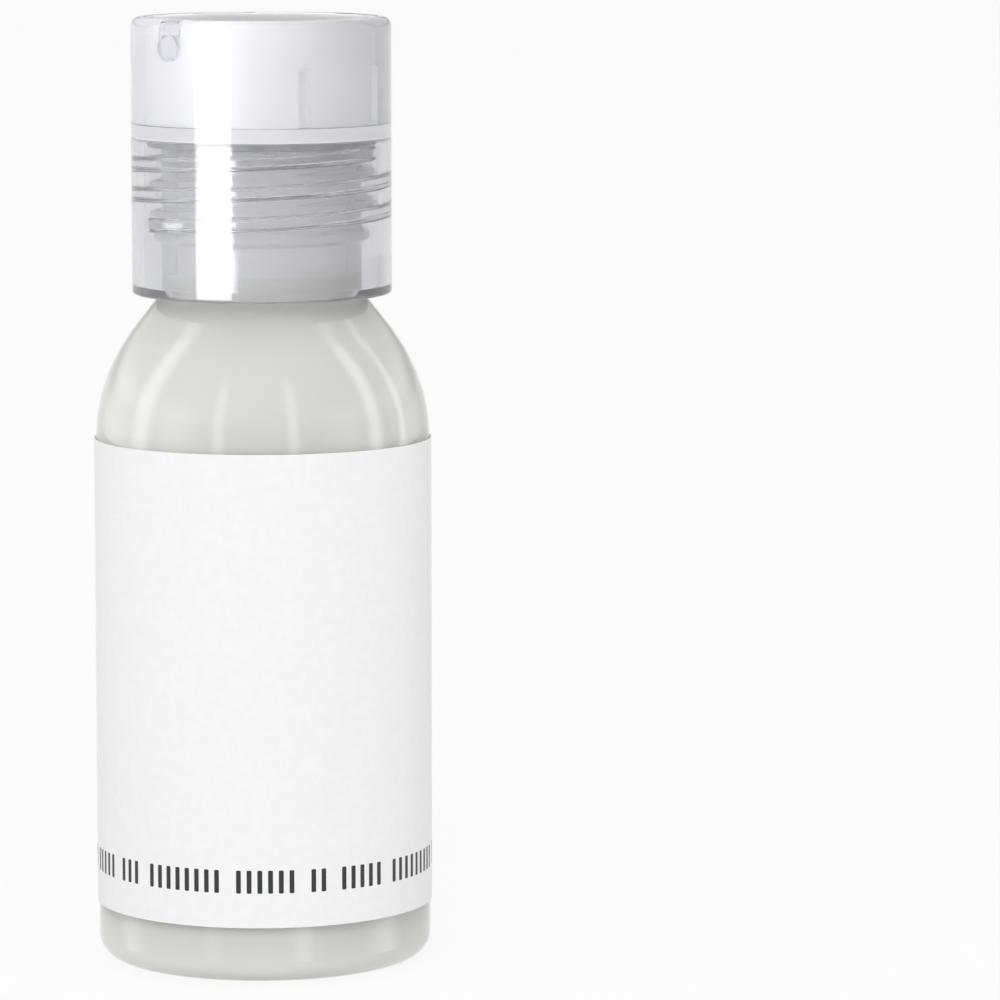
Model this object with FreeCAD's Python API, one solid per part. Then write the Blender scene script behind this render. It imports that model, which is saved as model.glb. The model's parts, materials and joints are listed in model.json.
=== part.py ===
import FreeCAD, Part
import math
import os

# Small lotion bottle with a wrap label and a screw-on press-top closure.
# Millimetres, +Z up. The origin is the centre of the foot and the spout faces -Y.

# Bottle
body_radius = 14.58         # outside of the straight wall that carries the label
base_corner = 2.0           # rounding between foot and wall
foot_ring_width = 1.9       # flat ring that the bottle stands on
push_up = 1.5               # rise of the hollow under the base
push_up_flat = 6.0          # radius of the flat at the top of that hollow
floor_thickness = 1.2
wall = 0.9
shoulder_start = 45.56
shoulder_angle = 38.0       # slope of the upper shoulder, degrees from upright
shoulder_arc_share = 0.57   # part of the step from wall to neck that is rounded
neck_bore = 7.3
neck_wall = 1.4
neck_height = 12.64         # from the foot of the neck to its rim
neck_blend = 2.0            # hollow rounding where the shoulder meets the neck
neck_rim_chamfer = 0.3
bead_rise = 0.7             # ring under the thread
bead_width = 1.4
bead_crest = 0.5            # straight part of the ring
bead_level = 5.1            # height of the ring above the foot of the neck

# Lotion
fill_gap = 0.05
fill_rise = 1.8             # level above the foot of the neck

# Wrap label
label_thickness = 0.1
label_glue = 0.03
label_foot_margin = 3.0     # bare wall between base corner and label
label_height = 40.8
label_seam = 3.0            # bare strip between the two ends of the label
label_seam_heading = 47     # degrees from +X

# Gasket
gasket_thickness = 0.8
gasket_edge_gap = 0.3

# Closure
thread_room = 1.5           # between neck and skirt, where the threads engage
skirt_wall = 1.1
skirt_overlap = 0.18        # reach of the skirt below the foot of the neck
skirt_lead = 0.5            # widening at the mouth of the skirt, which leads it onto the neck
skirt_lead_height = 0.8
skirt_edge = 0.25
chamber_wall = 1.35
rim_round = 0.8
rim_chamfer = 0.25
deck_thickness = 1.2
plug_gap = 0.1
plug_wall = 1.0
plug_depth = 2.5            # reach of the plug into the neck
plug_chamfer = 0.4
post_wall = 2.0             # cheeks beside the keel, across the spout
post_cover = 3.2            # height of the post's cheeks above the bottom of the seat
seat_floor_rise = 2.05      # bottom of the seat above the deck
seat_gap = 0.1              # between keel and seat
post_roof = 1.0             # material between the seat and the hollow under it
post_core_radius = 3.0
orifice_radius = 0.85
socket_skin = 0.6           # wall left outside each pivot socket
lead_in_depth = 0.35        # groove that guides a trunnion down to its socket
stop_reach = 1.3            # how far a stop stands in from the chamber wall
stop_width = 1.1
stop_gap = 0.08
stop_spread = 22            # front stops, degrees either side of the spout
rear_stop_height = 1.3

# Press disc
pivot_drop = 2.4            # pivot axis below the rim
tilt = 24                   # opening tilt in degrees
disc_gap = 0.2              # between the disc's round edge and the chamber
disc_crown = 0.25
disc_edge = 0.25
plate_thickness = 1.0
disc_skirt_drop = 1.6       # bottom of the disc's skirt below the pivot axis
disc_skirt_wall = 0.9
dish_radius = 3.4           # hollow for the fingertip
dish_depth = 0.4
dish_offset = 4.9
trunnion_radius = 1.1
pivot_gap = 0.05
trunnion_end_gap = 0.1
keel_width = 4.4
keel_rim = 0.9
spout_radius = 1.7
channel_radius = 0.85
channel_lift = 0.4          # outlet channel above the pivot axis
channel_wall = 0.55

overrun = 1.0               # how far cutting tools pass the face that they cut

ORIGIN = FreeCAD.Vector(0, 0, 0)
RIGHT = FreeCAD.Vector(1, 0, 0)
BACK = FreeCAD.Vector(0, 1, 0)
UP = FreeCAD.Vector(0, 0, 1)
FULL_TURN = 360
HALF_TURN = 180

# Sizes that follow from the ones above
slope = math.radians(shoulder_angle)
opening = math.radians(tilt)
foot = body_radius - base_corner
neck_radius = neck_bore + neck_wall
shoulder_radius = shoulder_arc_share * (body_radius - neck_radius) / (1 - math.cos(slope))

skirt_bore = neck_radius + thread_room
cap_radius = skirt_bore + skirt_wall
chamber_radius = cap_radius - chamber_wall
disc_radius = chamber_radius - disc_gap
disc_skirt_radius = math.sqrt(disc_radius ** 2 - disc_skirt_drop ** 2)
swing_drop = disc_skirt_radius * math.sin(opening) + disc_skirt_drop * math.cos(opening)


def section_point(r, z):
    return FreeCAD.Vector(r, 0, z)


def line(start, end):
    return Part.LineSegment(section_point(*start), section_point(*end)).toShape()


def path(*points):
    return [line(start, end) for start, end in zip(points, points[1:])]


def arc(centre, radius, start_degrees, end_degrees):
    """Arc in the section plane, with angles measured from outward towards up."""
    def at(degrees):
        turn = math.radians(degrees)
        return section_point(centre[0] + radius * math.cos(turn), centre[1] + radius * math.sin(turn))
    return Part.Arc(at(start_degrees), at((start_degrees + end_degrees) / 2), at(end_degrees)).toShape()


def dome(radius, base, rise):
    """Shallow arc from the axis out to radius, standing rise above base at the axis."""
    curve = (radius ** 2 + rise ** 2) / (2 * rise)
    half = radius / 2
    middle = base + rise - curve + math.sqrt(curve ** 2 - half ** 2)
    return Part.Arc(section_point(0, base + rise), section_point(half, middle),
                    section_point(radius, base)).toShape()


def revolve(edges, turn=FULL_TURN):
    face = Part.Face(Part.Wire(Part.__sortEdges__(edges)))
    return Part.makeSolid(face.revolve(ORIGIN, UP, turn))


def cylinder_along(axis, radius, start, length):
    return Part.makeCylinder(radius, length, start, axis)


def box_between(low, high):
    size = high - low
    return Part.makeBox(size.x, size.y, size.z, low)


def base_points(floor):
    """Section of the base, from the axis over the hollow and its ring to the foot's corner."""
    ring = foot - foot_ring_width
    return [(0, floor + push_up), (push_up_flat, floor + push_up), (ring, floor), (foot, floor)]


def shoulder(inset, bore):
    """Shoulder of a section inset from the outside.

    Returns its arc, the start of its slope and the level at which the slope would meet the bore.
    """
    centre = (body_radius - shoulder_radius, shoulder_start)
    radius = shoulder_radius - inset
    slope_start = (centre[0] + radius * math.cos(slope), centre[1] + radius * math.sin(slope))
    meeting = slope_start[1] + (slope_start[0] - bore) / math.tan(slope)
    return arc(centre, radius, 0, shoulder_angle), slope_start, meeting


def cavity(inset, floor, bore, level):
    """Solid that fills the inside of the bottle up to a level in its neck."""
    side = body_radius - inset
    corner = base_corner - inset
    curve, slope_start, meeting = shoulder(inset, bore)
    edges = path(*base_points(floor), (side, floor + corner), (side, shoulder_start))
    edges.append(curve)
    edges += path(slope_start, (bore, meeting), (bore, level), (0, level), (0, floor + push_up))
    return revolve(edges)


def make_bottle():
    curve, slope_start, neck_base = shoulder(0, neck_radius)
    rim = neck_base + neck_height
    bead = neck_base + bead_level
    bead_radius = neck_radius + bead_rise
    tangent = neck_blend * math.tan(slope / 2)
    slope_end = (neck_radius + tangent * math.sin(slope), neck_base - tangent * math.cos(slope))
    blend_centre = (neck_radius + neck_blend, neck_base + tangent)

    edges = path(*base_points(0))
    edges.append(arc((foot, base_corner), base_corner, -90, 0))
    edges += path((body_radius, base_corner), (body_radius, shoulder_start))
    edges.append(curve)
    edges += path(slope_start, slope_end)
    edges.append(arc(blend_centre, neck_blend, HALF_TURN + shoulder_angle, HALF_TURN))
    edges += path((neck_radius, neck_base + tangent), (neck_radius, bead - bead_width / 2),
                  (bead_radius, bead - bead_crest / 2), (bead_radius, bead + bead_crest / 2),
                  (neck_radius, bead + bead_width / 2), (neck_radius, rim - neck_rim_chamfer),
                  (neck_radius - neck_rim_chamfer, rim), (0, rim), (0, push_up))
    inside = cavity(wall, floor_thickness, neck_bore, rim + overrun)
    return revolve(edges).cut(inside), neck_base


def make_lotion(neck_base):
    return cavity(wall + fill_gap, floor_thickness + fill_gap, neck_bore - fill_gap,
                  neck_base + fill_rise)


def make_label():
    low = base_corner + label_foot_margin
    high = low + label_height
    inner = body_radius + label_glue
    outer = inner + label_thickness
    seam_turn = math.degrees(label_seam / inner)
    label = revolve(path((inner, low), (outer, low), (outer, high), (inner, high), (inner, low)),
                    FULL_TURN - seam_turn)
    label.rotate(ORIGIN, UP, label_seam_heading + seam_turn / 2)
    return label


def make_gasket(neck_rim):
    top = neck_rim + gasket_thickness
    outer = skirt_bore - gasket_edge_gap
    return revolve(path((neck_bore, neck_rim), (outer, neck_rim), (outer, top), (neck_bore, top),
                        (neck_bore, neck_rim)))


def make_stop(heading, low, high):
    """Rib inside the chamber wall, at a heading in degrees from the spout."""
    inner = chamber_radius - stop_reach
    outer = chamber_radius + chamber_wall / 2
    rib = box_between(FreeCAD.Vector(-stop_width / 2, -outer, low),
                      FreeCAD.Vector(stop_width / 2, -inner, high))
    rib.rotate(ORIGIN, UP, heading)
    return rib


def make_closure(skirt_bottom, deck_bottom, deck_top, pivot_level, rim_level, keel_radius):
    seat_radius = keel_radius + seat_gap
    seat_bottom = pivot_level - seat_radius
    slot_half = keel_width / 2 + seat_gap
    post_radius = slot_half + post_wall
    post_top = seat_bottom + post_cover
    core_top = seat_bottom - post_roof
    plug_radius = neck_bore - plug_gap
    plug_bottom = deck_bottom - gasket_thickness - plug_depth

    # One turned section: skirt, rim, chamber, deck, seat post and the plug that seals the neck.
    mouth = (skirt_bore + skirt_lead, skirt_bottom)
    edges = path(mouth, (cap_radius - skirt_edge, skirt_bottom),
                 (cap_radius, skirt_bottom + skirt_edge), (cap_radius, rim_level - rim_round))
    edges.append(arc((cap_radius - rim_round, rim_level - rim_round), rim_round, 0, 90))
    edges += path((cap_radius - rim_round, rim_level), (chamber_radius + rim_chamfer, rim_level),
                  (chamber_radius, rim_level - rim_chamfer), (chamber_radius, deck_top),
                  (post_radius, deck_top), (post_radius, post_top), (0, post_top), (0, core_top),
                  (post_core_radius, core_top), (post_core_radius, deck_bottom),
                  (plug_radius - plug_wall, deck_bottom), (plug_radius - plug_wall, plug_bottom),
                  (plug_radius - plug_chamfer, plug_bottom), (plug_radius, plug_bottom + plug_chamfer),
                  (plug_radius, deck_bottom), (skirt_bore, deck_bottom),
                  (skirt_bore, skirt_bottom + skirt_lead_height), mouth)
    closure = revolve(edges)

    # Seat for the keel, and the orifice under it.
    seat = cylinder_along(RIGHT, seat_radius, FreeCAD.Vector(-slot_half, 0, pivot_level), 2 * slot_half)
    orifice = cylinder_along(UP, orifice_radius, FreeCAD.Vector(0, 0, core_top - overrun),
                             post_roof + 2 * overrun)
    closure = closure.cut(seat).cut(orifice)

    # Pivot sockets, with a guide groove from the rim down to each.
    socket_radius = trunnion_radius + pivot_gap
    socket_depth = chamber_wall - socket_skin
    for side in (RIGHT, -RIGHT):
        start = side * (chamber_radius - overrun) + UP * pivot_level
        closure = closure.cut(cylinder_along(side, socket_radius, start, overrun + socket_depth))
        groove = box_between(FreeCAD.Vector(chamber_radius - overrun, -socket_radius, pivot_level),
                             FreeCAD.Vector(chamber_radius + lead_in_depth, socket_radius,
                                            rim_level + overrun))
        if side.x < 0:
            groove.rotate(ORIGIN, UP, HALF_TURN)
        closure = closure.cut(groove)

    # Stops that the disc's skirt rests on, closed at the front and open at the back.
    front_top = pivot_level - disc_skirt_drop - stop_gap
    for heading in (-stop_spread, stop_spread):
        closure = closure.fuse(make_stop(heading, deck_top, front_top))
    closure = closure.fuse(make_stop(HALF_TURN, deck_top, deck_top + rear_stop_height))
    return closure.removeSplitter()


def make_disc(pivot_level, keel_radius):
    # Modelled about the pivot axis, then lifted to its level.
    plate_under = pivot_drop - plate_thickness
    edge_level = pivot_drop - disc_edge
    edge_radius = math.sqrt(disc_radius ** 2 - edge_level ** 2)
    top_radius = edge_radius - disc_edge
    skirt_inner = disc_radius - disc_skirt_wall
    edge_angle = math.degrees(math.asin(edge_level / disc_radius))
    skirt_angle = math.degrees(math.asin(disc_skirt_drop / disc_radius))

    edges = [dome(top_radius, pivot_drop, disc_crown)]
    edges += path((top_radius, pivot_drop), (edge_radius, edge_level))
    edges.append(arc((0, 0), disc_radius, edge_angle, -skirt_angle))
    edges += path((disc_skirt_radius, -disc_skirt_drop), (skirt_inner, -disc_skirt_drop),
                  (skirt_inner, plate_under), (0, plate_under), (0, pivot_drop + disc_crown))
    disc = revolve(edges)

    dish_curve = (dish_radius ** 2 + dish_depth ** 2) / (2 * dish_depth)
    dish_centre = FreeCAD.Vector(0, dish_offset, pivot_drop + disc_crown - dish_depth + dish_curve)
    disc = disc.cut(Part.makeSphere(dish_curve, dish_centre))

    # Keel: a half wheel about the pivot axis, cored from both sides around the channel.
    half_keel = keel_width / 2
    web = channel_radius + channel_wall
    keel = cylinder_along(RIGHT, keel_radius, RIGHT * -half_keel, keel_width)
    for side in (RIGHT, -RIGHT):
        keel = keel.cut(cylinder_along(side, keel_radius - keel_rim, side * web, half_keel))
    below_plate = box_between(FreeCAD.Vector(-keel_width, -disc_radius, -keel_radius - overrun),
                              FreeCAD.Vector(keel_width, disc_radius, plate_under + plate_thickness / 2))
    disc = disc.fuse(keel.common(below_plate))

    # Outlet spout along the front radius, trimmed to the disc's round edge.
    spout = cylinder_along(-BACK, spout_radius, UP * channel_lift, disc_radius)
    spout = spout.common(Part.makeSphere(disc_radius)).common(below_plate)
    disc = disc.fuse(spout)

    # Trunnions on the pivot axis.
    reach = chamber_radius + chamber_wall - socket_skin - trunnion_end_gap
    root = disc_radius - disc_skirt_wall / 2
    for side in (RIGHT, -RIGHT):
        disc = disc.fuse(cylinder_along(side, trunnion_radius, side * root, reach - root))

    # Channel: its inlet points straight down only when the disc is tilted open.
    inlet_way = BACK * math.sin(opening) - UP * math.cos(opening)
    inlet = cylinder_along(inlet_way, channel_radius, inlet_way * -channel_lift,
                           channel_lift + keel_radius + overrun)
    outlet = cylinder_along(-BACK, channel_radius, UP * channel_lift, disc_radius + overrun)
    disc = disc.cut(inlet).cut(outlet).removeSplitter()
    disc.translate(UP * pivot_level)
    return disc


bottle, neck_base_level = make_bottle()
neck_rim_level = neck_base_level + neck_height
deck_bottom_level = neck_rim_level + gasket_thickness
deck_top_level = deck_bottom_level + deck_thickness
pivot_axis_level = deck_top_level + rear_stop_height + stop_gap + swing_drop
cap_top_level = pivot_axis_level + pivot_drop
valve_radius = pivot_axis_level - deck_top_level - seat_floor_rise - seat_gap

nodes = {
    "bottle": bottle,
    "lotion_fill": make_lotion(neck_base_level),
    "wrap_label": make_label(),
    "sealing_gasket": make_gasket(neck_rim_level),
    "closure_base": make_closure(neck_base_level - skirt_overlap, deck_bottom_level, deck_top_level,
                                 pivot_axis_level, cap_top_level, valve_radius),
    "press_disc": make_disc(pivot_axis_level, valve_radius),
}

os.makedirs("parts", exist_ok=True)
for name, shape in nodes.items():
    shape.exportStep("parts/" + name + ".step")
    box = shape.BoundBox
    print(name, shape.ShapeType, len(shape.Solids), shape.isValid(), round(shape.Volume, 1),
          round(box.ZMin, 3), round(box.ZMax, 3))
print("neck rim", round(neck_rim_level, 3), "pivot axis", round(pivot_axis_level, 3),
      "cap top", round(cap_top_level, 3), "keel radius", round(valve_radius, 3))
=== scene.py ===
import json
import math

import bmesh
import bpy
import numpy as np
from mathutils import Matrix, Vector


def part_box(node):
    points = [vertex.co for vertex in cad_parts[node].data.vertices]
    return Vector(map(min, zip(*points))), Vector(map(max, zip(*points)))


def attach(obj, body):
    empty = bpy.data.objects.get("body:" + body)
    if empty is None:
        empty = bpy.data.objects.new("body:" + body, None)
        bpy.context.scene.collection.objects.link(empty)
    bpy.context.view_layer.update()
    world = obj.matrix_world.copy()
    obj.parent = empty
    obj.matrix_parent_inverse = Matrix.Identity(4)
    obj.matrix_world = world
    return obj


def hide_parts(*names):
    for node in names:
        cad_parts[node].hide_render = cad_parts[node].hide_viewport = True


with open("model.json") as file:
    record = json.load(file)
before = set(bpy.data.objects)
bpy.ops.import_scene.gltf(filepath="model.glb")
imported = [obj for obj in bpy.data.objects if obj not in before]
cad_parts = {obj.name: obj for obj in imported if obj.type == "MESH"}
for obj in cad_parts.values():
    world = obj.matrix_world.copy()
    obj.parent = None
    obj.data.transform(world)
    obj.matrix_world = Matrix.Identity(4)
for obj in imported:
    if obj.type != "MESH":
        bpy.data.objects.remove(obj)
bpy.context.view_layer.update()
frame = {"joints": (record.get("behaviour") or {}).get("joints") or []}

# Sizes are in millimetres until a mesh is made. Those that the frame holds are read from it.
MM = 0.001
FULL_TURN = 2 * math.pi


def box_mm(node):
    """Lowest and highest corner of a node at rest."""
    low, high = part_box(node)
    return [value / MM for value in low], [value / MM for value in high]


_, bottle_high = box_mm("bottle")
_, lotion_high = box_mm("lotion_fill")
label_low, label_high = box_mm("wrap_label")
gasket_low, gasket_high = box_mm("sealing_gasket")
closure_low, closure_high = box_mm("closure_base")
disc_low, _ = box_mm("press_disc")
disc_tilt = next(joint for joint in frame["joints"] if joint["name"] == "disc_tilt")
pivot_level = disc_tilt["pos_m"][2] / MM
opening = math.radians(disc_tilt["range_deg"][1])

# Bottle
body_radius = bottle_high[0]
neck_rim = bottle_high[2]
base_corner = 2.0
foot_ring_width = 1.9
push_up = 1.5
push_up_flat = 6.0
push_up_round = 1.2         # softens the edges of the hollow under the base
floor_thickness = 0.8       # a blown wall is thin at the foot
wall = 0.9
shoulder_start = 45.56
shoulder_slope = math.radians(38.0)
shoulder_arc_share = 0.57
neck_bore = 7.3
neck_radius = 8.7
neck_height = 12.64
neck_blend = 2.0
neck_rim_round = 0.35
bead_rise = 0.7
bead_width = 1.4
bead_level = 5.1
bead_round = 0.3

# Screw thread, shared by neck and skirt
thread_pitch = 2.6
thread_height = 1.05
thread_crest = 0.25         # half of the flat on a crest
thread_flank = 0.42
thread_fade = 0.09          # turns over which an end runs out
neck_thread_low = 65.25
neck_thread_start = math.radians(130)
neck_thread_turns = 1.8
thread_seat = 0.85          # the skirt's thread bears on the neck's from this far below
skirt_thread_start = math.radians(173)
skirt_thread_turns = 2.3
thread_row = 0.04           # spacing of the mesh rows along a thread
thread_margin = 0.8         # the rows reach this far past a thread's middle line

# Lotion
lotion_bite = 0.02          # the lotion wets the wall, so no air shows between them
meniscus = 0.5

# Wrap label
label_radius = body_radius + 0.12
label_glue = 0.03
label_seam = 3.0
label_seam_heading = math.radians(47)
label_corner = 1.2
corner_steps = 8
print_rise = 3.0            # foot of the printed ticks above that of the label
tick_height = 2.0
tick_width = 0.42
tick_corner = 0.1
tick_gap = 0.5
group_gap = 1.5
tick_groups = (4, 2, 7, 5, 3, 8, 6, 2, 5, 9, 3, 4, 6)
tick_steps = 3
ink = 0.004                 # half of the ink's thickness

# Sealing ring
ring_gap = 0.02             # to the rim, the deck and the bore
ring_round = 0.15

# Closure
cap_radius = closure_high[0]
cap_rim = closure_high[2]
skirt_bottom = closure_low[2]
skirt_bore = 10.2
skirt_edge = 0.3
skirt_lead = 0.5            # widening at the mouth of the skirt
skirt_lead_height = 0.8
skirt_lead_round = 0.2
chamber_radius = 9.95
rim_round = 0.8
rim_edge = 0.3
deck_bottom = gasket_high[2]
deck_thickness = 1.2
corner_fillet = 0.35
plug_radius = 7.2
plug_wall = 1.0
plug_depth = 2.5
plug_round = 0.4
post_radius = 4.3
post_cover = 3.2
seat_gap = 0.1
post_roof = 1.0
post_core_radius = 3.0
orifice_radius = 0.85
socket_radius = 1.15
socket_depth = 0.75
lead_in_depth = 0.35
stop_reach = 1.3
stop_width = 1.1
stop_gap = 0.08
stop_spread = math.radians(22)
rear_stop_height = 1.3
frost_margin = 0.1          # the frosted finish of the valve chamber ends this far past its wall
shade_height = 3.0          # foot of the skirt that shades the shoulder most

# Press disc
disc_radius = 9.75
disc_crown = 0.25
disc_edge = 0.25
plate_thickness = 1.0
disc_skirt_drop = 1.6
disc_skirt_wall = 0.9
dish_radius = 3.4
dish_depth = 0.4
dish_offset = 4.9
trunnion_radius = 1.1
trunnion_reach = 10.6
keel_width = 4.4
keel_rim = 0.9
spout_radius = 1.7
channel_radius = 0.85
channel_lift = 0.4
channel_wall = 0.55

# Levels that follow
pivot_drop = cap_rim - pivot_level
deck_top = deck_bottom + deck_thickness
keel_radius = pivot_level - disc_low[2]
seat_radius = keel_radius + seat_gap
seat_bottom = pivot_level - seat_radius
neck_base = neck_rim - neck_height
shoulder_radius = shoulder_arc_share * (body_radius - neck_radius) / (1 - math.cos(shoulder_slope))

SEGMENTS = 256
CLOSE = 1e-3                # radii nearer than this are the same
SLIVER = 5e-4               # points nearer than this are merged after a cut
ARC_STEP = math.radians(9)
SMOOTH_ANGLE = math.radians(32)  # sharper edges stay sharp in the shading
CUTTER_SEGMENTS = 96
overrun = 1.0


# Sections are lists of (radius, level) points.

def arc(centre, radius, start, end):
    """Points of an arc in the section, with angles in degrees from outward towards up."""
    first = math.radians(start)
    last = math.radians(end)
    steps = max(2, math.ceil(abs(last - first) / ARC_STEP))
    turns = [first + (last - first) * i / steps for i in range(steps + 1)]
    return [(centre[0] + radius * math.cos(t), centre[1] + radius * math.sin(t)) for t in turns]


def rounded(before, corner, after, radius):
    """The corner of a section, rounded off between its two neighbours."""
    corner = Vector(corner)
    back = (Vector(before) - corner).normalized()
    on = (Vector(after) - corner).normalized()
    half = back.angle(on) / 2
    reach = radius / math.tan(half)
    centre = corner + (back + on).normalized() * (radius / math.sin(half))
    start = corner + back * reach - centre
    turn = start.angle_signed(corner + on * reach - centre)
    steps = max(2, math.ceil(abs(turn) / ARC_STEP))
    points = []
    for i in range(steps + 1):
        spoke = start.copy()
        spoke.rotate(Matrix.Rotation(-turn * i / steps, 2))
        points.append(tuple(centre + spoke))
    return points


def rounded_path(points, radii):
    """A run of points whose inner corners are rounded by the radii given for them, 0 for none."""
    section = [points[0]]
    for before, corner, after, radius in zip(points, points[1:], points[2:], radii):
        section += rounded(before, corner, after, radius) if radius else [corner]
    section.append(points[-1])
    return section


def rows_of_thread(radius, low, turns):
    """Points of a straight wall in the reach of a thread, so that it can carry the relief."""
    first = low - thread_margin
    last = low + turns * thread_pitch + thread_margin
    return [(radius, level) for level in np.linspace(first, last, math.ceil((last - first) / thread_row))]


def mesh_object(name, points, faces):
    """A mesh from points in millimetres, smooth but for its sharp edges."""
    mesh = bpy.data.meshes.new(name)
    mesh.from_pydata([tuple(point) for point in np.asarray(points) * MM], [], faces)
    mesh.validate()
    mesh.shade_smooth()
    mesh.set_sharp_from_angle(angle=SMOOTH_ANGLE)
    piece = bpy.data.objects.new(name, mesh)
    bpy.context.scene.collection.objects.link(piece)
    return piece


def lathe(name, section, closed=False, relief=None, segments=SEGMENTS):
    """Turns a section about the Z axis. An open section starts and ends on the axis.

    relief(radius, level, angle) moves points outwards by what it returns.
    """
    angles = np.arange(segments) * FULL_TURN / segments
    points = []
    rows = []
    for radius, level in section:
        if radius < CLOSE:
            rows.append([len(points)] * segments)
            points.append((0, 0, level))
            continue
        spread = np.full(segments, float(radius))
        if relief:
            spread = spread + relief(radius, level, angles)
        rows.append(list(range(len(points), len(points) + segments)))
        points += list(zip(spread * np.cos(angles), spread * np.sin(angles), [level] * segments))
    faces = []
    pairs = list(zip(rows, rows[1:]))
    if closed:
        pairs.append((rows[-1], rows[0]))
    for lower, upper in pairs:
        for i in range(segments):
            j = (i + 1) % segments
            ring = [lower[i], lower[j], upper[j], upper[i]]
            faces.append(list(dict.fromkeys(ring)))
    return mesh_object(name, points, faces)


def rod(name, radius, start, way, length, round_end=0.0):
    """A cylinder for cutting or adding, from start along way."""
    section = [(0, 0), (radius, 0), (radius, length - round_end)]
    if round_end:
        section += arc((radius - round_end, length - round_end), round_end, 0, 90)[1:]
    else:
        section.append((radius, length))
    section.append((0, length))
    piece = lathe(name, section, segments=CUTTER_SEGMENTS)
    turn = Vector((0, 0, 1)).rotation_difference(Vector(way)).to_matrix().to_4x4()
    piece.data.transform(Matrix.Translation(Vector(start) * MM) @ turn)
    return piece


def block(name, low, high, heading=0.0):
    """A box between two corners, turned about the Z axis."""
    corners = [(x, y, z) for x in (low[0], high[0]) for y in (low[1], high[1]) for z in (low[2], high[2])]
    faces = [(0, 1, 3, 2), (4, 6, 7, 5), (0, 4, 5, 1), (2, 3, 7, 6), (0, 2, 6, 4), (1, 5, 7, 3)]
    piece = mesh_object(name, corners, faces)
    piece.data.transform(Matrix.Rotation(heading, 4, "Z"))
    return piece


def ball(name, radius, centre):
    """A sphere for cutting."""
    section = arc((0, 0), radius, -90, 90)
    section[0] = (0, -radius)
    section[-1] = (0, radius)
    piece = lathe(name, section)
    piece.data.transform(Matrix.Translation(Vector(centre) * MM))
    return piece


def combine(piece, operation, *tools):
    """Joins the tools to the piece, cuts them from it, or keeps what they share. The tools go."""
    for tool in tools:
        change = piece.modifiers.new(operation.lower(), "BOOLEAN")
        change.operation = operation
        change.solver = "MANIFOLD"
        change.object = tool
        evaluated = piece.evaluated_get(bpy.context.evaluated_depsgraph_get())
        mesh = bpy.data.meshes.new_from_object(evaluated)
        piece.modifiers.clear()
        old = piece.data
        piece.data = mesh
        bpy.data.meshes.remove(old)
        bpy.data.objects.remove(tool)
    piece.data.shade_smooth()
    piece.data.set_sharp_from_angle(angle=SMOOTH_ANGLE)
    piece.data.name = piece.name
    return piece


def merge_slivers(piece):
    """Merges the points that cuts leave next to each other."""
    work = bmesh.new()
    work.from_mesh(piece.data)
    bmesh.ops.remove_doubles(work, verts=work.verts, dist=SLIVER * MM)
    bmesh.ops.dissolve_degenerate(work, edges=work.edges, dist=SLIVER * MM)
    work.to_mesh(piece.data)
    work.free()


def place(piece, body, node, material):
    """Gives a piece its material and its body, and hides the node that it stands for."""
    piece.data.materials.clear()
    piece.data.materials.append(material)
    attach(piece, body)
    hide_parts(node)


# Shapes

def smooth_step(share):
    """Goes smoothly from 0 to 1 as the share does."""
    share = np.clip(share, 0, 1)
    return share * share * (3 - 2 * share)


def thread_relief(level, angles, start, low, turns):
    """Height, from 0 to 1, of a right-hand thread that starts at level low and angle start."""
    share = (angles - start) / FULL_TURN
    along = share + np.round((level - low) / thread_pitch - share)
    away = np.abs(level - low - thread_pitch * along)
    flank = 1 - smooth_step((away - thread_crest) / thread_flank)
    ends = smooth_step(along / thread_fade + 0.5) * smooth_step((turns - along) / thread_fade + 0.5)
    return flank * ends


def shoulder_points(inset, bore, blend):
    """Shoulder of a section inset from the outside, up to where the neck runs straight."""
    centre = (body_radius - shoulder_radius, shoulder_start)
    radius = shoulder_radius - inset
    points = arc(centre, radius, 0, math.degrees(shoulder_slope))
    meeting = points[-1][1] + (points[-1][0] - bore) / math.tan(shoulder_slope)
    tangent = blend * math.tan(shoulder_slope / 2)
    blend_centre = (bore + blend, meeting + tangent)
    points += arc(blend_centre, blend, 180 + math.degrees(shoulder_slope), 180)
    return points


def base_section(inset, floor):
    """Section of the base from the axis out to the wall, over the hollow and round the corner."""
    foot = body_radius - base_corner
    corner = base_corner - inset
    points = [(0, floor + push_up), (push_up_flat, floor + push_up), (foot - foot_ring_width, floor),
              (foot, floor)]
    section = rounded_path(points, (push_up_round, push_up_round))
    return section[:-1] + arc((foot, floor + corner), corner, -90, 0)


def make_bottle(material):
    """Blown shell with a raised base, sloped shoulder, bead and threaded neck, inside and out."""
    bead = neck_base + bead_level
    bead_top = bead + bead_width / 2
    outside = base_section(0, 0) + shoulder_points(0, neck_radius, neck_blend)
    neck = rounded_path(
        [outside[-1], (neck_radius, bead - bead_width / 2), (neck_radius + bead_rise, bead - bead_round),
         (neck_radius + bead_rise, bead + bead_round), (neck_radius, bead_top),
         (neck_radius, neck_rim - neck_rim_round)],
        (bead_round, bead_round, bead_round, bead_round))
    thread_rows = rows_of_thread(neck_radius, neck_thread_low, neck_thread_turns)
    rim = arc((neck_radius - neck_rim_round, neck_rim - neck_rim_round), neck_rim_round, 0, 90)
    rim += arc((neck_bore + neck_rim_round, neck_rim - neck_rim_round), neck_rim_round, 90, 180)
    inside = base_section(wall, floor_thickness) + shoulder_points(wall, neck_bore, neck_blend + wall)
    section = outside + neck[1:-1] + thread_rows + rim + inside[::-1]

    def relief(radius, level, angles):
        if abs(radius - neck_radius) > CLOSE or level < bead_top:
            return 0
        rise = thread_relief(level, angles, neck_thread_start, neck_thread_low, neck_thread_turns)
        return thread_height * rise

    piece = lathe("bottle_shell", section, relief=relief)
    place(piece, "bottle", "bottle", material)
    return piece


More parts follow.
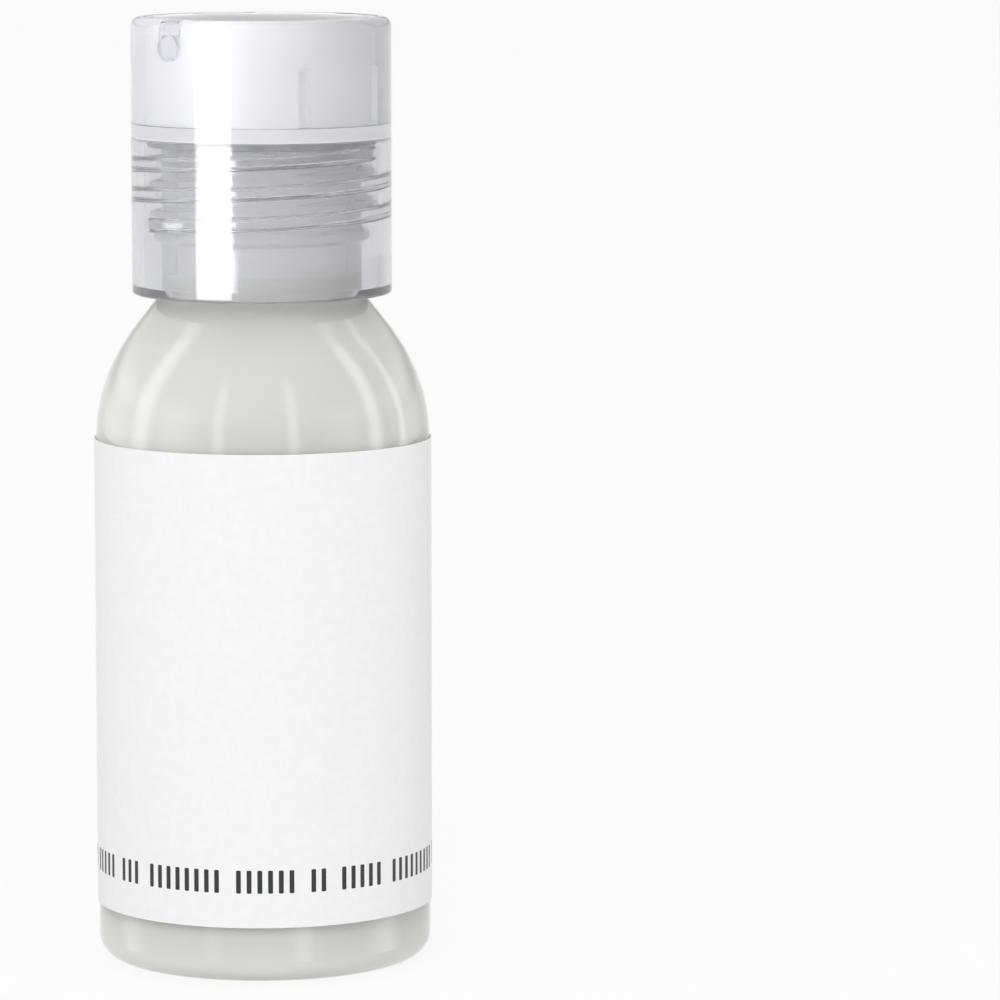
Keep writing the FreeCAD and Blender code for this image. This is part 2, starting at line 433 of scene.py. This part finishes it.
def make_lotion(material):
    """Filling up to the neck, with a meniscus at its edge."""
    inset = wall - lotion_bite
    bore = neck_bore + lotion_bite
    section = base_section(inset, floor_thickness - lotion_bite)
    section += shoulder_points(inset, bore, neck_blend + inset)
    level = lotion_high[2]
    section += [(bore, level)]
    section += arc((bore - meniscus, level), meniscus, 0, -90)[2:]
    section.append((0, level - meniscus))
    piece = lathe("lotion", section)
    place(piece, "bottle", "lotion_fill", material)
    return piece


def bent_film(inner, outer, low, high, start, turn, corner, steps):
    """Points and faces of a film bent round the Z axis from a start angle, with rounded corners."""
    length = turn * outer
    ends = [corner * (1 - math.cos(math.pi / 2 * i / corner_steps)) for i in range(corner_steps + 1)]
    stations = ends + list(np.linspace(corner, length - corner, steps)[1:-1])
    stations += [length - end for end in reversed(ends)]
    points = []
    for station in stations:
        from_corner = corner - min(station, length - station, corner)
        drop = corner - math.sqrt(corner ** 2 - from_corner ** 2)
        angle = start + station / outer
        for radius, level in ((inner, low + drop), (outer, low + drop), (outer, high - drop),
                              (inner, high - drop)):
            points.append((radius * math.cos(angle), radius * math.sin(angle), level))
    faces = [(0, 1, 2, 3)]
    for here in range(0, len(points) - 4, 4):
        for side in range(4):
            other = (side + 1) % 4
            faces.append((here + 4 + side, here + 4 + other, here + other, here + side))
    last = len(points) - 4
    faces.append((last + 3, last + 2, last + 1, last))
    return points, faces


def make_label(material):
    """Film sheet bent round the wall, with rounded corners at the two ends of the seam."""
    inner = body_radius + label_glue
    seam_turn = label_seam / inner
    start = label_seam_heading + seam_turn / 2
    points, faces = bent_film(inner, label_radius, label_low[2], label_high[2], start,
                              FULL_TURN - seam_turn, label_corner, SEGMENTS)
    piece = mesh_object("label_sheet", points, faces)
    place(piece, "bottle", "wrap_label", material)
    return piece


def make_print(material):
    """Row of plain ink ticks in groups, low on the label and centred opposite the seam."""
    level = label_low[2] + print_rise
    starts = []
    along = 0
    for count in tick_groups:
        starts += [along + (tick_width + tick_gap) * i for i in range(count)]
        along = starts[-1] + tick_width + group_gap
    middle = (starts[-1] + tick_width) / 2
    points = []
    faces = []
    for start in starts:
        angle = label_seam_heading + math.pi + (start - middle) / label_radius
        tick, sides = bent_film(label_radius - ink, label_radius + ink, level, level + tick_height, angle,
                                tick_width / label_radius, tick_corner, tick_steps)
        faces += [[len(points) + corner for corner in side] for side in sides]
        points += tick
    piece = mesh_object("printed_ticks", points, faces)
    piece.data.materials.append(material)
    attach(piece, "bottle")
    return piece


def make_gasket(material):
    """Foam ring between the neck's rim and the closure's deck."""
    low = gasket_low[2] + ring_gap
    high = gasket_high[2] - ring_gap
    outer = gasket_high[0]
    inner = neck_bore + ring_gap
    corners = [(inner, low), (outer, low), (outer, high), (inner, high)]
    section = rounded_path([corners[-1], *corners, corners[0]], [ring_round] * len(corners))[1:-1]
    piece = lathe("sealing_ring", section, closed=True)
    place(piece, "gasket", "sealing_gasket", material)
    return piece


def make_closure(material):
    """Skirt, deck, plug, seat post and rim in one, with pivot sockets and stops for the disc."""
    post_top = seat_bottom + post_cover
    core_top = seat_bottom - post_roof
    plug_bottom = neck_rim - plug_depth
    outline = [
        (0, core_top), (post_core_radius, core_top), (post_core_radius, deck_bottom),
        (plug_radius - plug_wall, deck_bottom), (plug_radius - plug_wall, plug_bottom),
        (plug_radius, plug_bottom), (plug_radius, deck_bottom), (skirt_bore, deck_bottom),
        (skirt_bore, skirt_bottom + skirt_lead_height), (skirt_bore + skirt_lead, skirt_bottom),
        (cap_radius, skirt_bottom), (cap_radius, cap_rim),
        (chamber_radius, cap_rim), (chamber_radius, deck_top), (post_radius, deck_top),
        (post_radius, post_top), (0, post_top)]
    radii = [
        corner_fillet, corner_fillet, corner_fillet, plug_round, plug_round, corner_fillet, corner_fillet,
        skirt_lead_round, skirt_lead_round, skirt_edge, rim_round, rim_edge, 0, corner_fillet, corner_fillet]
    section = rounded_path(outline, radii)
    above = next(i for i, point in enumerate(section) if abs(point[0] - skirt_bore) < CLOSE)
    thread_top = section[above][1]
    ahead = (skirt_thread_start - neck_thread_start) / FULL_TURN
    skirt_thread_low = neck_thread_low + ahead * thread_pitch - thread_seat
    thread_rows = rows_of_thread(skirt_bore, skirt_thread_low, skirt_thread_turns)
    section[above + 1:above + 1] = thread_rows[::-1]

    def relief(radius, level, angles):
        if abs(radius - skirt_bore) > CLOSE or level >= thread_top:
            return 0
        rise = thread_relief(level, angles, skirt_thread_start, skirt_thread_low, skirt_thread_turns)
        return -thread_height * rise

    piece = lathe("closure_shell", section, relief=relief)

    slot_half = keel_width / 2 + seat_gap
    tools = [
        rod("seat", seat_radius, (-slot_half, 0, pivot_level), (1, 0, 0), 2 * slot_half),
        rod("orifice", orifice_radius, (0, 0, core_top - overrun), (0, 0, 1), post_roof + 2 * overrun)]
    for side in (1, -1):
        tools.append(rod("socket", socket_radius, (side * (chamber_radius - overrun), 0, pivot_level),
                         (side, 0, 0), overrun + socket_depth))
        tools.append(block("groove", (chamber_radius - overrun, -socket_radius, pivot_level),
                           (chamber_radius + lead_in_depth, socket_radius, cap_rim + overrun),
                           0 if side > 0 else math.pi))
    combine(piece, "DIFFERENCE", *tools)

    front_top = pivot_level - disc_skirt_drop - stop_gap
    stops = []
    for heading, top in ((-stop_spread, front_top), (stop_spread, front_top),
                         (math.pi, deck_top + rear_stop_height)):
        low = (-stop_width / 2, -(chamber_radius + overrun / 2), deck_top - overrun / 2)
        high = (stop_width / 2, stop_reach - chamber_radius, top)
        stops.append(block("stop", low, high, heading))
    combine(piece, "UNION", *stops)
    merge_slivers(piece)
    place(piece, "closure", "closure_base", material)
    return piece


def make_disc(material):
    """Plate with dish, keel, spout, channel and trunnions, made about the pivot and lifted to its level."""
    plate_under = pivot_drop - plate_thickness
    edge_level = pivot_drop - disc_edge
    edge_radius = math.sqrt(disc_radius ** 2 - edge_level ** 2)
    top_radius = edge_radius - disc_edge
    skirt_inner = disc_radius - disc_skirt_wall
    crown_curve = (top_radius ** 2 + disc_crown ** 2) / (2 * disc_crown)
    crown_spread = math.degrees(math.asin(top_radius / crown_curve))
    section = arc((0, pivot_drop + disc_crown - crown_curve), crown_curve, 90, 90 - crown_spread)
    section[0] = (0, pivot_drop + disc_crown)
    section += arc((0, 0), disc_radius, math.degrees(math.asin(edge_level / disc_radius)),
                   -math.degrees(math.asin(disc_skirt_drop / disc_radius)))
    section += [(skirt_inner, -disc_skirt_drop), (skirt_inner, plate_under), (0, plate_under)]
    piece = lathe("press_plate", section[::-1])

    dish_curve = (dish_radius ** 2 + dish_depth ** 2) / (2 * dish_depth)
    dish_centre = (0, dish_offset, pivot_drop + disc_crown - dish_depth + dish_curve)
    combine(piece, "DIFFERENCE", ball("dish", dish_curve, dish_centre))

    half_keel = keel_width / 2
    web = channel_radius + channel_wall
    trim = plate_under + plate_thickness / 2
    keel = rod("keel", keel_radius, (-half_keel, 0, 0), (1, 0, 0), keel_width)
    pockets = [rod("pocket", keel_radius - keel_rim, (side * web, 0, 0), (side, 0, 0), half_keel)
               for side in (1, -1)]
    combine(keel, "DIFFERENCE", *pockets)
    spout = rod("spout", spout_radius, (0, 0, channel_lift), (0, -1, 0), disc_radius)
    combine(spout, "INTERSECT", ball("spout_trim", disc_radius, (0, 0, 0)))
    reach = disc_radius + overrun
    for rib in (keel, spout):
        combine(rib, "DIFFERENCE", block("above", (-reach, -reach, trim), (reach, reach, trim + reach)))
    root = disc_radius - disc_skirt_wall / 2
    trunnions = [rod("trunnion", trunnion_radius, (side * root, 0, 0), (side, 0, 0),
                     trunnion_reach - root, disc_edge) for side in (1, -1)]
    combine(piece, "UNION", keel, spout, *trunnions)

    inlet_way = Vector((0, math.sin(opening), -math.cos(opening)))
    inlet = rod("inlet", channel_radius, inlet_way * -channel_lift, inlet_way,
                channel_lift + keel_radius + overrun)
    outlet = rod("outlet", channel_radius, (0, 0, channel_lift), (0, -1, 0), disc_radius + overrun)
    combine(piece, "DIFFERENCE", inlet, outlet)
    merge_slivers(piece)
    piece.data.transform(Matrix.Translation((0, 0, pivot_level * MM)))
    place(piece, "disc", "press_disc", material)
    return piece


# Materials. Scales are noise features per metre, depths are in metres.

PLASTIC_IOR = 1.49
TONE_RAMP = (0.35, 0.65)    # where noise passes from the dark tone to the light one
MIX_SOCKETS = {"FLOAT": (2, 3, 0), "RGBA": (6, 7, 2)}  # plain input, other input, result
plastic_tone_scale = 140
plastic_gloss_scale = 420
plastic_wave_scale = 260
plastic_wave_depth = 0.0001
gloss_scale_share = 3       # of the scale of a solid finish's tone
grain_scale_share = 8


def new_material(name):
    """A material with its nodes, links, shader and output."""
    material = bpy.data.materials.new(name)
    material.use_nodes = True
    nodes = material.node_tree.nodes
    return material, nodes, material.node_tree.links, nodes["Principled BSDF"], nodes["Material Output"]


def noise(nodes, links, scale, detail, low=0.0, high=1.0):
    """Noise in object space, mapped to a range."""
    place_node = nodes.new("ShaderNodeTexCoord")
    texture = nodes.new("ShaderNodeTexNoise")
    texture.inputs["Scale"].default_value = scale
    texture.inputs["Detail"].default_value = detail
    span = nodes.new("ShaderNodeMapRange")
    span.inputs["To Min"].default_value = low
    span.inputs["To Max"].default_value = high
    links.new(place_node.outputs["Object"], texture.inputs["Vector"])
    links.new(texture.outputs["Fac"], span.inputs["Value"])
    return texture.outputs["Fac"], span.outputs["Result"]


def add_bump(nodes, links, shader, height, strength, distance):
    """Lets a height move the shading."""
    bump = nodes.new("ShaderNodeBump")
    bump.inputs["Strength"].default_value = strength
    bump.inputs["Distance"].default_value = distance
    links.new(height, bump.inputs["Height"])
    links.new(bump.outputs["Normal"], shader.inputs["Normal"])


def two_tone(nodes, links, shader, fac, dark, light):
    """Base colour that drifts between two close tones."""
    ramp = nodes.new("ShaderNodeValToRGB")
    for element, position, colour in zip(ramp.color_ramp.elements, TONE_RAMP, (dark, light)):
        element.position = position
        element.color = (*colour, 1)
    links.new(fac, ramp.inputs["Fac"])
    links.new(ramp.outputs["Color"], shader.inputs["Base Color"])


def compute(nodes, links, operation, first, second):
    """A Math node's result. The second input is a number or another result."""
    node = nodes.new("ShaderNodeMath")
    node.operation = operation
    links.new(first, node.inputs[0])
    if isinstance(second, (int, float)):
        node.inputs[1].default_value = second
    else:
        links.new(second, node.inputs[1])
    return node.outputs["Value"]


def place_on_lathe(nodes, links):
    """Distance from the Z axis, and level, in metres."""
    place_node = nodes.new("ShaderNodeTexCoord")
    flat = nodes.new("ShaderNodeVectorMath")
    flat.operation = "MULTIPLY"
    flat.inputs[1].default_value = (1, 1, 0)
    length = nodes.new("ShaderNodeVectorMath")
    length.operation = "LENGTH"
    split = nodes.new("ShaderNodeSeparateXYZ")
    links.new(place_node.outputs["Object"], flat.inputs[0])
    links.new(flat.outputs["Vector"], length.inputs[0])
    links.new(place_node.outputs["Object"], split.inputs["Vector"])
    return length.outputs["Value"], split.outputs["Z"]


def mix_in(nodes, links, socket, kind, value, share):
    """Turns a shader's number or colour into another one where share is 1."""
    mix = nodes.new("ShaderNodeMix")
    mix.data_type = kind
    plain, other, result = MIX_SOCKETS[kind]
    mix.inputs[plain].default_value = socket.default_value
    mix.inputs[other].default_value = value
    if socket.is_linked:
        links.new(socket.links[0].from_socket, mix.inputs[plain])
    links.new(share, mix.inputs["Factor"])
    links.new(mix.outputs[result], socket)


def add_frost(material, radius, low, transmission, rough, colour):
    """Frosts the faces of a chamber about the axis, above a level."""
    nodes = material.node_tree.nodes
    links = material.node_tree.links
    shader = nodes["Principled BSDF"]
    reach, level = place_on_lathe(nodes, links)
    above = compute(nodes, links, "GREATER_THAN", level, low * MM)
    inner = compute(nodes, links, "LESS_THAN", reach, radius * MM)
    frosted = compute(nodes, links, "MULTIPLY", inner, above)
    mix_in(nodes, links, shader.inputs["Base Color"], "RGBA", (*colour, 1), frosted)
    mix_in(nodes, links, shader.inputs["Transmission Weight"], "FLOAT", transmission, frosted)
    mix_in(nodes, links, shader.inputs["Roughness"], "FLOAT", rough, frosted)


def between_levels(nodes, links, low, high):
    """1 between two levels, 0 elsewhere."""
    _, level = place_on_lathe(nodes, links)
    above = compute(nodes, links, "GREATER_THAN", level, low * MM)
    below = compute(nodes, links, "LESS_THAN", level, high * MM)
    return compute(nodes, links, "MULTIPLY", above, below)


def add_milk(material, low, high, transmission, colour):
    """Makes plastic between two levels look milky."""
    nodes = material.node_tree.nodes
    links = material.node_tree.links
    shader = nodes["Principled BSDF"]
    milky = between_levels(nodes, links, low, high)
    mix_in(nodes, links, shader.inputs["Base Color"], "RGBA", (*colour, 1), milky)
    mix_in(nodes, links, shader.inputs["Transmission Weight"], "FLOAT", transmission, milky)


def deepen_shade(material, low, high, shade):
    """Dims the lamps more where they shine through plastic between two levels."""
    nodes = material.node_tree.nodes
    links = material.node_tree.links
    deeper = between_levels(nodes, links, low, high)
    through = nodes["Transparent BSDF"]
    mix_in(nodes, links, through.inputs["Color"], "RGBA", (shade, shade, shade, 1), deeper)


def clear_plastic(name, dark, light, transmission, rough, absorb, density, waviness, shade):
    """Clear moulded plastic with a grey body colour in its thickness.

    Lamps shine through it, dimmed by shade at each wall face.
    """
    material, nodes, links, shader, output = new_material(name)
    shader.inputs["Transmission Weight"].default_value = transmission
    shader.inputs["IOR"].default_value = PLASTIC_IOR
    fac, _ = noise(nodes, links, plastic_tone_scale, detail=3)
    two_tone(nodes, links, shader, fac, dark, light)
    _, roughness = noise(nodes, links, plastic_gloss_scale, 4, *rough)
    links.new(roughness, shader.inputs["Roughness"])
    height, _ = noise(nodes, links, plastic_wave_scale, detail=2)
    add_bump(nodes, links, shader, height, waviness, plastic_wave_depth)
    path = nodes.new("ShaderNodeLightPath")
    through = nodes.new("ShaderNodeBsdfTransparent")
    through.inputs["Color"].default_value = (shade, shade, shade, 1)
    mix = nodes.new("ShaderNodeMixShader")
    links.new(path.outputs["Is Shadow Ray"], mix.inputs[0])
    links.new(shader.outputs["BSDF"], mix.inputs[1])
    links.new(through.outputs["BSDF"], mix.inputs[2])
    links.new(mix.outputs["Shader"], output.inputs["Surface"])
    volume = nodes.new("ShaderNodeVolumeAbsorption")
    volume.inputs["Color"].default_value = (*absorb, 1)
    volume.inputs["Density"].default_value = density
    links.new(volume.outputs["Volume"], output.inputs["Volume"])
    return material


def solid_material(name, dark, light, scale, rough, bump):
    """Opaque finish with drifting tone, uneven gloss and a fine surface."""
    material, nodes, links, shader, _ = new_material(name)
    fac, _ = noise(nodes, links, scale, detail=4)
    two_tone(nodes, links, shader, fac, dark, light)
    _, roughness = noise(nodes, links, scale * gloss_scale_share, 3, *rough)
    links.new(roughness, shader.inputs["Roughness"])
    height, _ = noise(nodes, links, scale * grain_scale_share, detail=2)
    add_bump(nodes, links, shader, height, *bump)
    return material


wall_material = clear_plastic(
    "clear_wall", dark=(0.98, 0.99, 0.98), light=(1, 1, 1), transmission=1.0, rough=(0.0, 0.03),
    absorb=(0.2, 0.22, 0.24), density=15, waviness=0.01, shade=1.0)
add_frost(wall_material, radius=neck_bore + frost_margin, low=lotion_high[2], transmission=0.35, rough=0.35,
          colour=(0.97, 0.97, 0.98))
closure_material = clear_plastic(
    "clear_closure", dark=(0.84, 0.84, 0.86), light=(0.87, 0.87, 0.89), transmission=0.92, rough=(0.0, 0.03),
    absorb=(0.3, 0.31, 0.34), density=62, waviness=0.012, shade=0.9)
add_milk(closure_material, low=skirt_bottom - overrun, high=deck_bottom, transmission=0.92,
         colour=(0.84, 0.84, 0.86))
add_milk(closure_material, low=deck_bottom, high=deck_top, transmission=0.42, colour=(0.87, 0.87, 0.89))
deepen_shade(closure_material, low=skirt_bottom - overrun, high=skirt_bottom + shade_height, shade=0.5)
add_frost(closure_material, radius=chamber_radius + frost_margin, low=deck_bottom - frost_margin,
          transmission=0.3, rough=0.4, colour=(0.98, 0.98, 0.99))
disc_material = clear_plastic(
    "clear_disc", dark=(0.92, 0.92, 0.94), light=(0.95, 0.95, 0.97), transmission=0.6, rough=(0.02, 0.05),
    absorb=(0.3, 0.31, 0.34), density=15, waviness=0.03, shade=0.9)
lotion_material = solid_material(
    "lotion", dark=(0.87, 0.87, 0.835), light=(0.89, 0.89, 0.855), scale=90, rough=(0.35, 0.45),
    bump=(0.05, 0.0001))
label_material = solid_material(
    "label_film", dark=(0.825, 0.825, 0.83), light=(0.845, 0.845, 0.85), scale=1200, rough=(0.42, 0.56),
    bump=(0.06, 0.00002))
ink_material = solid_material(
    "print_ink", dark=(0.012, 0.012, 0.013), light=(0.022, 0.022, 0.023), scale=900, rough=(0.5, 0.65),
    bump=(0.1, 0.00002))
# The sealing ring's dark grey is partly its own tone and partly painted shade, darkened to stand for the
# shadow and refraction between the neck's rim and the deck.
gasket_material = solid_material(
    "gasket_foam", dark=(0.16, 0.164, 0.172), light=(0.3, 0.306, 0.316), scale=500, rough=(0.7, 0.9),
    bump=(0.5, 0.0001))

bottle_shell = make_bottle(wall_material)
lotion = make_lotion(lotion_material)
bottle_pieces = [bottle_shell, lotion, make_label(label_material), make_print(ink_material)]
closure_pieces = [make_gasket(gasket_material), make_closure(closure_material), make_disc(disc_material)]


# Stage: pale floor, white surroundings, soft lamps. Sizes are in metres.

camera_azimuth = math.radians(-43)
camera_way = Vector((math.sin(camera_azimuth), -math.cos(camera_azimuth), 0))
camera_right = Vector((math.cos(camera_azimuth), math.sin(camera_azimuth), 0))
UP = Vector((0, 0, 1))
floor_level = -0.0002       # just under the foot
floor_half = 6.0
floor_roughness = 0.9
floor_gloss = 0.1
floor_tone_scale = 30
band_centre = 0.12          # sine of the elevation of the wall's darkest line
band_reach = 0.13
roof_edge = 0.78            # sine of the elevation at which the roof starts
flag_edge = 0.3             # sine of the angle to the right at which the flag starts
aim_level = 0.04            # the soft lamps point at this level of the axis
strip_distance = 0.7
strip_centre = 0.15         # level of a strip's middle, as a share of its height
strip_softness = (0.5, 0.35)
card_distance = 0.0208      # foot cards stand close round the base
card_level = 0.002
card_height = 0.009
card_softness = (0.5, 0.1)


def white_for_sight(nodes, links, plain, white):
    """Mixes in a white that only sight lines, reflections and refractions see."""
    path = nodes.new("ShaderNodeLightPath")
    seen = path.outputs["Is Camera Ray"]
    for ray in ("Is Glossy Ray", "Is Transmission Ray"):
        seen = compute(nodes, links, "MAXIMUM", seen, path.outputs[ray])
    mix = nodes.new("ShaderNodeMixShader")
    links.new(seen, mix.inputs[0])
    links.new(plain, mix.inputs[1])
    links.new(white, mix.inputs[2])
    return mix.outputs["Shader"]


def smooth_range(nodes, links, value, start, end, first, last):
    """Goes smoothly from first to last while the value goes from start to end."""
    span = nodes.new("ShaderNodeMapRange")
    span.interpolation_type = "SMOOTHSTEP"
    for name, setting in (("From Min", start), ("From Max", end), ("To Min", first), ("To Max", last)):
        span.inputs[name].default_value = setting
    links.new(value, span.inputs["Value"])
    return span.outputs["Result"]


def make_world(ambient, wall_tone, roof_tone, flag_tone):
    """White surroundings.

    Reflections also show a darker wall above the horizon and a darker roof, and refractions a grey flag on
    the right.
    """
    world = bpy.data.worlds.new("studio")
    bpy.context.scene.world = world
    world.use_nodes = True
    nodes = world.node_tree.nodes
    links = world.node_tree.links
    plain = nodes["Background"]
    plain.inputs["Color"].default_value = (1, 1, 1, 1)
    plain.inputs["Strength"].default_value = ambient
    white = nodes.new("ShaderNodeBackground")
    white.inputs["Color"].default_value = (1, 1, 1, 1)
    seen = white_for_sight(nodes, links, plain.outputs["Background"], white.outputs["Background"])
    links.new(seen, nodes["World Output"].inputs["Surface"])
    way = nodes.new("ShaderNodeTexCoord")
    split = nodes.new("ShaderNodeSeparateXYZ")
    links.new(way.outputs["Generated"], split.inputs["Vector"])
    from_band = compute(nodes, links, "SUBTRACT", split.outputs["Z"], band_centre)
    from_band = compute(nodes, links, "ABSOLUTE", from_band, 0)
    wall_band = smooth_range(nodes, links, from_band, 0, band_reach, wall_tone, 1)
    roof = smooth_range(nodes, links, split.outputs["Z"], roof_edge, 1, 1, roof_tone)
    strength = compute(nodes, links, "MULTIPLY", wall_band, roof)
    path = nodes.new("ShaderNodeLightPath")
    for ray in ("Is Camera Ray", "Is Transmission Ray"):
        strength = compute(nodes, links, "MAXIMUM", strength, path.outputs[ray])
    aside = nodes.new("ShaderNodeVectorMath")
    aside.operation = "DOT_PRODUCT"
    aside.inputs[1].default_value = camera_right
    links.new(way.outputs["Generated"], aside.inputs[0])
    flag = smooth_range(nodes, links, aside.outputs["Value"], flag_edge, 1, 0, 1 - flag_tone)
    flag = compute(nodes, links, "MULTIPLY", flag, path.outputs["Is Transmission Ray"])
    links.new(compute(nodes, links, "SUBTRACT", strength, flag), white.inputs["Strength"])


def make_floor(shadow_share):
    """White table that shows only a share of the shadow on it."""
    half = floor_half
    corners = [(-half, -half, 0), (half, -half, 0), (half, half, 0), (-half, half, 0)]
    mesh = bpy.data.meshes.new("floor")
    mesh.from_pydata(corners, [], [(0, 1, 2, 3)])
    floor = bpy.data.objects.new("floor", mesh)
    floor.location.z = floor_level
    bpy.context.scene.collection.objects.link(floor)
    material, nodes, links, shader, output = new_material("floor")
    shader.inputs["Roughness"].default_value = floor_roughness
    shader.inputs["Specular IOR Level"].default_value = floor_gloss
    fac, _ = noise(nodes, links, floor_tone_scale, detail=3)
    two_tone(nodes, links, shader, fac, (0.95, 0.95, 0.95), (0.97, 0.97, 0.97))
    glow = nodes.new("ShaderNodeEmission")
    glow.inputs["Strength"].default_value = 1
    lit = nodes.new("ShaderNodeMixShader")
    lit.inputs[0].default_value = 1 - shadow_share
    links.new(shader.outputs["BSDF"], lit.inputs[1])
    links.new(glow.outputs["Emission"], lit.inputs[2])
    seen = white_for_sight(nodes, links, shader.outputs["BSDF"], lit.outputs["Shader"])
    links.new(seen, output.inputs["Surface"])
    mesh.materials.append(material)


def link_to(holder, pieces):
    """Lets a lamp reach only some pieces."""
    receivers = bpy.data.collections.new(holder.name)
    for piece in pieces:
        receivers.objects.link(piece)
    holder.light_linking.receiver_collection = receivers


def lamp(name, heading, distance, level, size, radiance):
    """Rectangle of light in metres, at a heading in degrees to the right of the camera's own.

    Radiance is what a mirror would show.
    """
    light = bpy.data.lights.new(name, "AREA")
    light.shape = "RECTANGLE"
    light.size, light.size_y = size
    light.energy = radiance * math.pi * size[0] * size[1]
    holder = bpy.data.objects.new(name, light)
    turn = math.radians(heading)
    way = camera_way * math.cos(turn) + camera_right * math.sin(turn)
    holder.location = way * distance + UP * level
    holder.rotation_mode = "QUATERNION"
    holder.rotation_quaternion = (-way).to_track_quat("-Z", "Y")
    holder.visible_camera = False
    holder.visible_transmission = False
    bpy.context.scene.collection.objects.link(holder)
    return holder


def key_lamp(name, heading, distance, level, size, radiance):
    """Soft lamp that lights surfaces and doesn't show in reflections."""
    holder = lamp(name, heading, distance, level, size, radiance)
    holder.rotation_quaternion = (UP * aim_level - holder.location).to_track_quat("-Z", "Y")
    holder.visible_glossy = False
    return holder


def table_glow(name, width, radiance):
    """Light that a white table throws back up. It lies between the floor and the foot."""
    light = bpy.data.lights.new(name, "AREA")
    light.size = width
    light.energy = radiance * math.pi * width ** 2
    holder = bpy.data.objects.new(name, light)
    holder.location.z = floor_level / 2
    holder.rotation_euler.x = math.pi
    holder.visible_camera = False
    holder.visible_transmission = False
    holder.visible_glossy = False
    bpy.context.scene.collection.objects.link(holder)
    return holder


def soften(light, softness):
    """Fades a lamp towards its edges, over shares of its width and height."""
    light.use_nodes = True
    nodes = light.node_tree.nodes
    links = light.node_tree.links
    spot = nodes.new("ShaderNodeNewGeometry")
    split = nodes.new("ShaderNodeSeparateXYZ")
    links.new(spot.outputs["Parametric"], split.inputs["Vector"])
    fades = []
    for axis, share in zip("XY", softness):
        from_edge = compute(nodes, links, "PINGPONG", split.outputs[axis], 0.5)
        fades.append(smooth_range(nodes, links, from_edge, 0, share, 0, 1))
    links.new(compute(nodes, links, "MULTIPLY", *fades), nodes["Emission"].inputs["Strength"])


def glint(name, heading, distance, level, size, radiance, softness, pieces):
    """Upright softbox that shows only in the reflections of some pieces."""
    holder = lamp(name, heading, distance, level, size, radiance)
    soften(holder.data, softness)
    holder.visible_diffuse = False
    link_to(holder, pieces)
    return holder


def make_camera():
    """Camera fitted to the outlines in the photo."""
    elevation = math.radians(7.0877)
    distance = 0.5049
    target_level = 0.04004
    aside = 0.02072
    focal_pixels = 5769
    frame_pixels = 1000
    camera = bpy.data.cameras.new("camera")
    camera.sensor_width = 36
    camera.lens = focal_pixels * camera.sensor_width / frame_pixels
    camera.clip_start = 0.01
    camera.clip_end = 50
    holder = bpy.data.objects.new("camera", camera)
    holder.location = camera_way * (distance * math.cos(elevation))
    holder.location += UP * (target_level + distance * math.sin(elevation))
    target = camera_right * aside + UP * target_level
    sight = (target - holder.location).normalized()
    right = sight.cross(UP).normalized()
    up = right.cross(sight)
    axes = Matrix((right, up, -sight)).transposed()
    holder.rotation_mode = "QUATERNION"
    holder.rotation_quaternion = axes.to_quaternion()
    bpy.context.scene.collection.objects.link(holder)
    bpy.context.scene.camera = holder


make_world(ambient=0.76, wall_tone=0.5, roof_tone=0.25, flag_tone=0.4)
make_floor(shadow_share=0.15)
make_camera()
key_lamp("key", heading=-13, distance=1.2, level=0.7, size=(0.6, 0.6), radiance=4.2)
key_lamp("fill", heading=10, distance=0.9, level=0.07, size=(0.8, 0.12), radiance=2.2)
closure_side = key_lamp("closure_side", heading=-62, distance=0.5, level=0.2, size=(0.3, 0.3), radiance=2.0)
link_to(closure_side, closure_pieces)
closure_fill = key_lamp("closure_fill", heading=55, distance=0.5, level=0.12, size=(0.3, 0.3), radiance=0.5)
link_to(closure_fill, closure_pieces)
link_to(table_glow("table_glow", width=0.3, radiance=0.1), [lotion])
link_to(table_glow("foot_glow", width=0.06, radiance=0.8), [lotion])
closure_strip = glint("closure_strip", heading=-43, distance=0.3, level=0.05, size=(0.2, 0.13), radiance=12.5,
                      softness=(0.12, 0.04), pieces=closure_pieces)
closure_strip.visible_transmission = True  # it also shines through to the closure's inner walls
glint("closure_halo", heading=-43, distance=0.3, level=0.05, size=(0.4, 0.13), radiance=1.6,
      softness=(0.5, 0.04), pieces=closure_pieces)

# Small cards close round the base, reflected by the bottle's shell: heading, width, radiance
foot_cards = [
    (-72, 0.009, 1.2),
    (-24, 0.005, 1.0),
    (17, 0.005, 2.0),
    (62, 0.011, 1.8)]
for number, (heading, width, radiance) in enumerate(foot_cards):
    glint("foot_card_%d" % number, heading, card_distance, card_level, (width, card_height), radiance,
          card_softness, [bottle_shell])

# Upright softboxes, reflected by the bottle's own pieces: heading, width, height, radiance
bottle_strips = [
    (-92, 0.34, 1.9, 3.2),
    (-65, 0.7, 0.6, 1.5),
    (-116, 0.95, 0.6, 1.4),
    (-31, 0.16, 1.2, 2.6),
    (21, 0.16, 1.2, 2.6),
    (62, 0.7, 0.6, 1.2),
    (84, 0.26, 1.9, 3.7),
    (112, 0.16, 1.6, 1.8),
    (114, 0.95, 0.6, 1.3)]
for number, (heading, width, height, radiance) in enumerate(bottle_strips):
    glint("bottle_strip_%d" % number, heading, strip_distance, height * strip_centre, (width, height),
          radiance, strip_softness, bottle_pieces)

bpy.context.scene.view_settings.view_transform = "Standard"
bpy.context.scene.cycles.max_bounces = 24
bpy.context.scene.cycles.diffuse_bounces = 8
bpy.context.scene.cycles.transmission_bounces = 24
bpy.context.scene.cycles.transparent_max_bounces = 32
